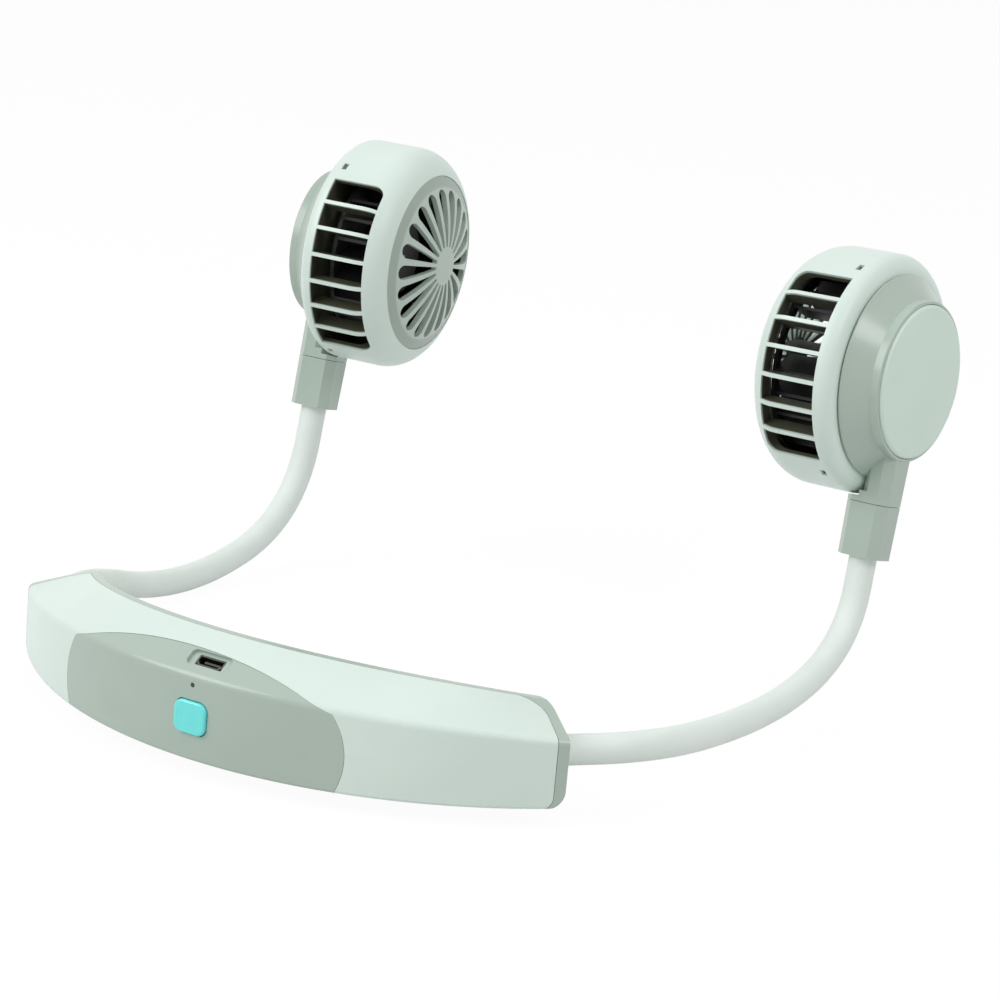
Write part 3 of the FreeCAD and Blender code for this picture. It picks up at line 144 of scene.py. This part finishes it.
def moulded(name, colour, rough, drift=DRIFT, strength=0.03):
    """Moulded plastic."""
    material, tree, shader = start_material(name, rough)
    tree.links.new(drifting(tree, colour, drift), shader.inputs["Base Color"])
    plastic_grain(tree, shader, rough, strength)
    return material


def moulded_with_shade(name, rough, strength, first, second, share):
    """Moulded plastic that goes from one colour, with its drift, to a second colour that is painted shade. share
    makes the factor in a tree.
    """
    material, tree, shader = start_material(name, rough)
    blend = tree.nodes.new("ShaderNodeMix")
    blend.data_type = "RGBA"
    tree.links.new(share(tree), blend.inputs["Factor"])
    tree.links.new(drifting(tree, *first), blend.inputs["A"])
    tree.links.new(drifting(tree, *second), blend.inputs["B"])
    tree.links.new(blend.outputs["Result"], shader.inputs["Base Color"])
    plastic_grain(tree, shader, rough, strength)
    return material


def math_node(tree, operation, first, second=None):
    """Sum with sockets and plain numbers."""
    node = tree.nodes.new("ShaderNodeMath")
    node.operation = operation
    for place, value in enumerate((first, second)):
        if isinstance(value, (int, float)):
            node.inputs[place].default_value = value
        elif value is not None:
            tree.links.new(value, node.inputs[place])
    return node.outputs[0]


def about_axis(tree, head):
    """How far a point lies along a head's fan axis, outwards, and how far from it."""
    centre, axis = head
    place = tree.nodes.new("ShaderNodeTexCoord")
    steps = []
    for operation in ("SUBTRACT", "DOT_PRODUCT", "CROSS_PRODUCT", "LENGTH"):
        node = tree.nodes.new("ShaderNodeVectorMath")
        node.operation = operation
        steps.append(node)
    offset, along, across, length = steps
    offset.inputs[1].default_value = centre
    along.inputs[1].default_value = axis
    across.inputs[1].default_value = axis
    tree.links.new(place.outputs["Object"], offset.inputs[0])
    tree.links.new(offset.outputs["Vector"], along.inputs[0])
    tree.links.new(offset.outputs["Vector"], across.inputs[0])
    tree.links.new(across.outputs["Vector"], length.inputs[0])
    return along.outputs["Value"], length.outputs["Value"]


def drum_inside_shade(tree, head, corner, way):
    """0 on a drum's pale outer surface, 1 inside it, where painted shade goes. The outer surface is a rounded
    corner: distance along the fan axis, in front of the head's middle or behind it as way says, distance from the
    axis, and radius."""
    along_start, out_start, radius = corner
    along, out = about_axis(tree, head)
    ahead = math_node(tree, "SUBTRACT", math_node(tree, "MULTIPLY", along, way), along_start)
    ahead = math_node(tree, "MAXIMUM", ahead, 0.0)
    beyond = math_node(tree, "MAXIMUM", math_node(tree, "SUBTRACT", out, out_start), 0.0)
    squares = [math_node(tree, "MULTIPLY", value, value) for value in (ahead, beyond)]
    reach = math_node(tree, "SQRT", math_node(tree, "ADD", *squares))
    return ranged(tree, math_node(tree, "SUBTRACT", radius, reach), *DRUM_SHADE_DEPTHS)


def grille_rim_shade(tree, head):
    """0 among a grille's slots, 1 on the rim beyond them, which is painted shade."""
    out = about_axis(tree, head)[1]
    return ranged(tree, out, GRILLE_SLOTS_END, GRILLE_SLOTS_END + GRILLE_SHADE)


def silicone(name, colour):
    """Soft matt silicone with a dusty sheen and a faint unevenness along the arm."""
    material, tree, shader = start_material(name, rough=0.55, specular=0.35)
    broad = noise(tree, size=0.012, detail=4.0)
    tree.links.new(shades(tree, broad, tint(colour, 0.965), tint(colour, 1.03)), shader.inputs["Base Color"])
    shader.inputs["Sheen Weight"].default_value = 0.12
    shader.inputs["Sheen Roughness"].default_value = 0.5
    fine = noise(tree, size=0.0007, detail=4.0)
    gloss(tree, shader, fine, low=0.5, high=0.64)
    relief(tree, shader, fine, depth=0.0001, strength=0.12)
    return material


def glossy(name, colour, dark):
    """High gloss button: colour with a slightly deeper drift, clear coat on top."""
    material, tree, shader = start_material(name, rough=0.22)
    broad = noise(tree, size=0.006)
    tree.links.new(shades(tree, broad, dark, colour), shader.inputs["Base Color"])
    shader.inputs["Coat Weight"].default_value = 0.6
    shader.inputs["Coat Roughness"].default_value = 0.08
    gloss(tree, shader, noise(tree, size=0.0012), low=0.18, high=0.28)
    return material


def lens(name, colour):
    """Dark light pipe of a lamp that is off."""
    material, tree, shader = start_material(name, rough=0.12)
    broad = noise(tree, size=0.0006)
    tree.links.new(shades(tree, broad, tint(colour, 0.7), colour), shader.inputs["Base Color"])
    shader.inputs["Coat Weight"].default_value = 0.5
    return material


def metal(name, colour, rough, grain):
    """Plain metal with fine scratches."""
    material, tree, shader = start_material(name, rough, metallic=1.0)
    fine = noise(tree, grain, detail=5.0)
    tree.links.new(shades(tree, fine, tint(colour, 0.8), colour), shader.inputs["Base Color"])
    gloss(tree, shader, fine, low=rough - 0.1, high=rough + 0.1)
    relief(tree, shader, fine, depth=grain / 10, strength=0.15)
    return material


SHELL_COLOUR = (0.785, 0.915, 0.845)
SHELL_ROUGH = 0.38
SHELL_GRAIN = 0.03
# painted shade: this dark colour inside a drum stands in for the shade that falls there
INSIDE_SHADE_COLOUR = (0.085, 0.089, 0.058)
GRILLE_COLOUR = (0.56, 0.665, 0.59)
# painted shade: the darker rim stands in for the shade in the grille's recess
RIM_SHADE_COLOUR = (0.41, 0.49, 0.43)
GRILLE_ROUGH = 0.36
GRILLE_GRAIN = 0.015

FINISHES = {
    "shell_white": moulded("shell_white", SHELL_COLOUR, SHELL_ROUGH, strength=SHELL_GRAIN),
    "trim_sage": moulded("trim_sage", (0.48, 0.58, 0.508), rough=0.22, strength=0.008),
    "disc_grey": moulded("disc_grey", (0.72, 0.87, 0.775), rough=0.36),
    "grille_grey": moulded("grille_grey", GRILLE_COLOUR, GRILLE_ROUGH, strength=GRILLE_GRAIN),
    "button_cyan": glossy("button_cyan", (0.18, 0.95, 0.93), dark=(0.15, 0.90, 0.88)),
    "lamp_lens": lens("lamp_lens", (0.02, 0.022, 0.02)),
    "sleeve_white": silicone("sleeve_white", (0.90, 0.99, 0.925)),
    "black_plastic": moulded("black_plastic", (0.016, 0.018, 0.016), rough=0.42, drift=0.2),
    "steel": metal("steel", (0.62, 0.62, 0.62), rough=0.35, grain=0.0006),
    "board_green": moulded("board_green", (0.05, 0.25, 0.10), rough=0.40, drift=0.15),
    "cell_foil": metal("cell_foil", (0.75, 0.75, 0.76), rough=0.40, grain=0.003),
    "lead_cover": moulded("lead_cover", (0.05, 0.05, 0.05), rough=0.55, drift=0.15),
}

# rounded corners of a drum, past which its inside is painted shade: distance along the fan axis, distance from it,
# radius
DRUM_FRONT = (0.0126, 0.0230, 0.0100)
DRUM_BACK = (0.0004, 0.0290, 0.0040)


def head_finishes(side):
    """Finishes of a head's pieces with painted shade that changes with the distance from the fan axis: inside the
    drum and on the grille's rim.
    """
    turn = JOINTS[f"{side}_drum_turn"]
    head = turn["pos_m"], turn["axis"]
    pale, dark = (SHELL_COLOUR,), (INSIDE_SHADE_COLOUR, INSIDE_SHADE_DRIFT)
    finishes = {}
    # the drum pieces are painted shade inside, past their rounded corners
    for node, corner, way in (("drum_shell", DRUM_FRONT, -1), ("drum_back_ring", DRUM_BACK, 1)):
        name = f"{side}_{node}"
        finishes[name] = moulded_with_shade(name, SHELL_ROUGH, SHELL_GRAIN, pale, dark,
                                  lambda tree: drum_inside_shade(tree, head, corner, way))
    # the grille's rim beyond the slots gets painted shade
    name = f"{side}_inlet_grille"
    finishes[name] = moulded_with_shade(name, GRILLE_ROUGH, GRILLE_GRAIN, (GRILLE_COLOUR,), (RIM_SHADE_COLOUR,),
                              lambda tree: grille_rim_shade(tree, head))
    return finishes


# the charging socket shows as a dark opening, so its steel is painted dull and dark: painted shade for the shade
# inside the opening
OWN_FINISHES = {
    "usb_socket": metal("socket_shaded_steel", (0.13, 0.13, 0.12), rough=0.45, grain=0.0006),
    **head_finishes("left"),
    **head_finishes("right"),
}

for part in frame["record"]["subparts"]:
    name = part["node"]
    slots = frame["nodes"][name].data.materials
    slots.clear()
    slots.append(OWN_FINISHES.get(name, FINISHES[part["material_slot"]]))


# Arms: one smooth silicone sleeve per side, in three lengths, one round each hinge

SLEEVE_R = 0.0038
SLEEVE_SIDES = 40
CURVE_STEPS = 48
RUN_STEPS = 12

# places that both arms share, as (x, y): inner end in the housing, first bend, end in the head's socket
INNER_END = (0.0670, 0.0157)
FIRST_BEND = (0.0921, 0.0457)
SOCKET_END = (0.0918, 0.1576)
ROOT_Z = -0.0035
SOCKET_DROP = 0.0369         # from the fan axis down to the arm's end
FIRST_REACH = 0.016          # along the root, from its bend

# corners in the dip and below the head as (y, z), shares of the runs where two bends meet, reach of the last bend
ARMS = {
    "left": {"dip": (0.0953, -0.0177), "rise": (0.1488, -0.0051), "meets": (0.42, 0.52), "last_reach": 0.024},
    "right": {"dip": (0.1070, -0.0108), "rise": (0.1506, -0.0018), "meets": (0.38, 0.48), "last_reach": 0.016},
}

# hinge of each length of sleeve, how much room it asks round that hinge either way, which sets where lengths part,
# and the CAD sleeves that the length stands for
LENGTHS = {
    "lower": ("arm_swing", 0.009, ("root", "lower")),
    "middle": ("arm_lift", 0.020, ("middle",)),
    "upper": ("head_tilt", 0.009, ("upper",)),
}


def arm_corners(side):
    arm = ARMS[side]
    arm_x = FIRST_BEND[0]
    end_z = JOINTS[f"{side}_drum_turn"]["pos_m"][2] - SOCKET_DROP
    places = [
        (*INNER_END, ROOT_Z),
        (*FIRST_BEND, ROOT_Z),
        (arm_x, *arm["dip"]),
        (arm_x, *arm["rise"]),
        (*SOCKET_END, end_z),
    ]
    return [Vector((SIDES[side] * x, y, z)) for x, y, z in places]


def run(start, end):
    """Points of a straight run, without its start."""
    return [start.lerp(end, i / RUN_STEPS) for i in range(1, RUN_STEPS + 1)]


def bend(start, corner, end):
    """Points of a bend that is tangent to both sides of a corner, without its start."""
    steps = [i / CURVE_STEPS for i in range(1, CURVE_STEPS + 1)]
    return [start * (1 - t) ** 2 + corner * (2 * t * (1 - t)) + end * t ** 2 for t in steps]


def arm_line(side):
    """Middle line of an arm: straight root, three bends that run into each other, straight end."""
    arm = ARMS[side]
    inner, first, dip, rise, end = arm_corners(side)
    root_end = first + (inner - first).normalized() * FIRST_REACH
    meet_a = first.lerp(dip, arm["meets"][0])
    meet_b = dip.lerp(rise, arm["meets"][1])
    rise_end = rise + (end - rise).normalized() * arm["last_reach"]
    line = [inner, *run(inner, root_end)]
    line += bend(root_end, first, meet_a)
    line += bend(meet_a, dip, meet_b)
    line += bend(meet_b, rise, rise_end)
    return line + run(rise_end, end)


def arm_rings(line):
    """Rings of points round the middle line, turned as little as possible from one to the next."""
    angles = [2 * math.pi * k / SLEEVE_SIDES for k in range(SLEEVE_SIDES)]
    rings = []
    ahead = (line[1] - line[0]).normalized()
    side = ahead.orthogonal().normalized()
    for i, point in enumerate(line):
        before = line[max(i - 1, 0)]
        after = line[min(i + 1, len(line) - 1)]
        turned = (after - before).normalized()
        side = ahead.rotation_difference(turned) @ side
        ahead = turned
        across = ahead.cross(side)
        rings.append([point + (side * math.cos(a) + across * math.sin(a)) * SLEEVE_R for a in angles])
    return rings


def sleeve(name, rings, closed_start, closed_end):
    """Tube through the rings, smooth along its wall, with a flat cap where it is closed."""
    count = SLEEVE_SIDES
    points = [point for ring in rings for point in ring]
    faces = []
    for i in range(len(rings) - 1):
        for k in range(count):
            n = (k + 1) % count
            faces.append((i * count + k, i * count + n, (i + 1) * count + n, (i + 1) * count + k))
    if closed_start:
        faces.append(tuple(reversed(range(count))))
    if closed_end:
        faces.append(tuple(range(len(points) - count, len(points))))
    mesh = bpy.data.meshes.new(name)
    mesh.from_pydata(points, [], faces)
    for face in mesh.polygons:
        face.use_smooth = len(face.vertices) == 4
    mesh.materials.append(FINISHES["sleeve_white"])
    piece = bpy.data.objects.new(name, mesh)
    scene.collection.objects.link(piece)
    return piece


def nearest(line, point):
    return min(range(len(line)), key=lambda i: (line[i] - point).length)


def parting(line, first, last, before, after):
    """Point between two hinges where lengths of sleeve meet, with room before and after it as their reaches ask."""
    def unevenness(i):
        return abs((line[i] - line[first]).length * after - (line[last] - line[i]).length * before)
    return min(range(first, last), key=unevenness)


def make_arm(side):
    line = arm_line(side)
    rings = arm_rings(line)
    joints = [JOINTS[f"{side}_{hinge}"] for hinge, reach, nodes in LENGTHS.values()]
    reaches = [reach for hinge, reach, nodes in LENGTHS.values()]
    at = [nearest(line, Vector(joint["pos_m"])) for joint in joints]
    cuts = [parting(line, *at[i:i + 2], *reaches[i:i + 2]) for i in range(len(at) - 1)]
    starts = [0, *cuts]
    ends = [*cuts, len(line) - 1]
    for i, (name, (hinge, reach, nodes)) in enumerate(LENGTHS.items()):
        length = rings[starts[i]:ends[i] + 1]
        piece = sleeve(f"{side}_sleeve_{name}", length, name == "lower", name == "upper")
        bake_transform(piece)
        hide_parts(*[f"{side}_arm_sleeve_{node}" for node in nodes])


for side in SIDES:
    make_arm(side)


# Floor, light and camera

FLOOR_GAP = 0.0005
FLOOR_Z = cad_box[0].z - FLOOR_GAP
FLOOR_HALF = 30
FLOOR_GREY = 0.7
FLOOR_GLOW = 1.05
FLOOR_WHITE = 0.9                    # the rest of the floor's look is its own light and shadow
SKY_HEIGHTS = (-0.1, 0.9)
SKY_STRENGTHS = (0.37, 0.52)         # the light that comes from those heights

MIDDLE = (0, 0.09, 0.04)
RIGHT_HUB = (0.085, 0.166, 0.07)

# place, aim, size in metres, power in watts
LIGHTS = {
    "key": ((-0.70, -0.75, 0.80), MIDDLE, 0.8, 7.2),
    "top": ((0.25, 0.25, 1.1), MIDDLE, 0.9, 1.4),
    "box": ((0.70, -0.06, 0.60), RIGHT_HUB, 0.26, 1.3),
}

AZIMUTH, ELEVATION, ROLL = (math.radians(a) for a in (30.50, 14.93, 5.16))
TARGET = Vector((0.0467, 0.03569, 0.05048))
DISTANCE = 0.68044
LENS = 101.386                       # millimetres, on a sensor of that width
SENSOR = 36
CLIP = (0.01, 100)


def shown_directly(tree):
    """1 where the camera sees the backdrop, straight, mirrored or through glass, and 0 where it gives light."""
    path = tree.nodes.new("ShaderNodeLightPath")
    seen = math_node(tree, "MAXIMUM", path.outputs["Is Camera Ray"], path.outputs["Is Glossy Ray"])
    return math_node(tree, "MAXIMUM", seen, path.outputs["Is Transmission Ray"])


def floor_material():
    """Pale floor that takes shadows and shows nearly white."""
    material = bpy.data.materials.new("floor")
    material.use_nodes = True
    tree = material.node_tree
    tree.nodes.clear()
    out = tree.nodes.new("ShaderNodeOutputMaterial")
    mix = tree.nodes.new("ShaderNodeMixShader")
    plain = tree.nodes.new("ShaderNodeBsdfDiffuse")
    plain.inputs["Color"].default_value = (FLOOR_GREY, FLOOR_GREY, FLOOR_GREY, 1)
    white = tree.nodes.new("ShaderNodeEmission")
    white.inputs["Color"].default_value = (1, 1, 1, 1)
    white.inputs["Strength"].default_value = FLOOR_GLOW
    tree.links.new(math_node(tree, "MULTIPLY", shown_directly(tree), FLOOR_WHITE), mix.inputs["Fac"])
    tree.links.new(plain.outputs[0], mix.inputs[1])
    tree.links.new(white.outputs[0], mix.inputs[2])
    tree.links.new(mix.outputs[0], out.inputs["Surface"])
    return material


def make_floor():
    corners = [(-1, -1), (1, -1), (1, 1), (-1, 1)]
    mesh = bpy.data.meshes.new("floor")
    mesh.from_pydata([(x * FLOOR_HALF, y * FLOOR_HALF, FLOOR_Z) for x, y in corners], [], [(0, 1, 2, 3)])
    mesh.materials.append(floor_material())
    floor = bpy.data.objects.new("floor", mesh)
    scene.collection.objects.link(floor)


def make_light(name, place, aim, size, power):
    data = bpy.data.lights.new(name, "AREA")
    data.shape = "SQUARE"
    data.size = size
    data.energy = power
    lamp = bpy.data.objects.new(name, data)
    scene.collection.objects.link(lamp)
    lamp.location = place
    lamp.rotation_mode = "QUATERNION"
    lamp.rotation_quaternion = (Vector(aim) - Vector(place)).to_track_quat("-Z", "Y")


def make_world():
    """Soft light from all round, brighter from above, that shows white."""
    world = bpy.data.worlds.new("studio")
    world.use_nodes = True
    tree = world.node_tree
    ground = tree.nodes["Background"]
    ground.inputs["Color"].default_value = (1, 1, 1, 1)
    place = tree.nodes.new("ShaderNodeTexCoord")
    parts = tree.nodes.new("ShaderNodeSeparateXYZ")
    tree.links.new(place.outputs["Generated"], parts.inputs["Vector"])
    light = ranged(tree, parts.outputs["Z"], *SKY_HEIGHTS, *SKY_STRENGTHS)
    white = tree.nodes.new("ShaderNodeMix")
    white.inputs["B"].default_value = 1.0
    tree.links.new(shown_directly(tree), white.inputs["Factor"])
    tree.links.new(light, white.inputs["A"])
    tree.links.new(white.outputs["Result"], ground.inputs["Strength"])
    scene.world = world


def make_camera():
    """Camera at the photograph's angle, with its slight roll."""
    back = Vector((math.sin(AZIMUTH) * math.cos(ELEVATION),
                   -math.cos(AZIMUTH) * math.cos(ELEVATION),
                   math.sin(ELEVATION)))
    level = Vector((math.cos(AZIMUTH), math.sin(AZIMUTH), 0))
    upright = back.cross(level)
    right = level * math.cos(ROLL) + upright * math.sin(ROLL)
    up = upright * math.cos(ROLL) - level * math.sin(ROLL)
    data = bpy.data.cameras.new("camera")
    data.lens = LENS
    data.sensor_width = SENSOR
    data.clip_start, data.clip_end = CLIP
    camera = bpy.data.objects.new("camera", data)
    scene.collection.objects.link(camera)
    turn = Matrix((right, up, back)).transposed().to_4x4()
    camera.matrix_world = Matrix.Translation(TARGET + back * DISTANCE) @ turn
    scene.camera = camera


make_floor()
make_world()
make_camera()
for name, values in LIGHTS.items():
    make_light(name, *values)
scene.view_settings.view_transform = "Standard"
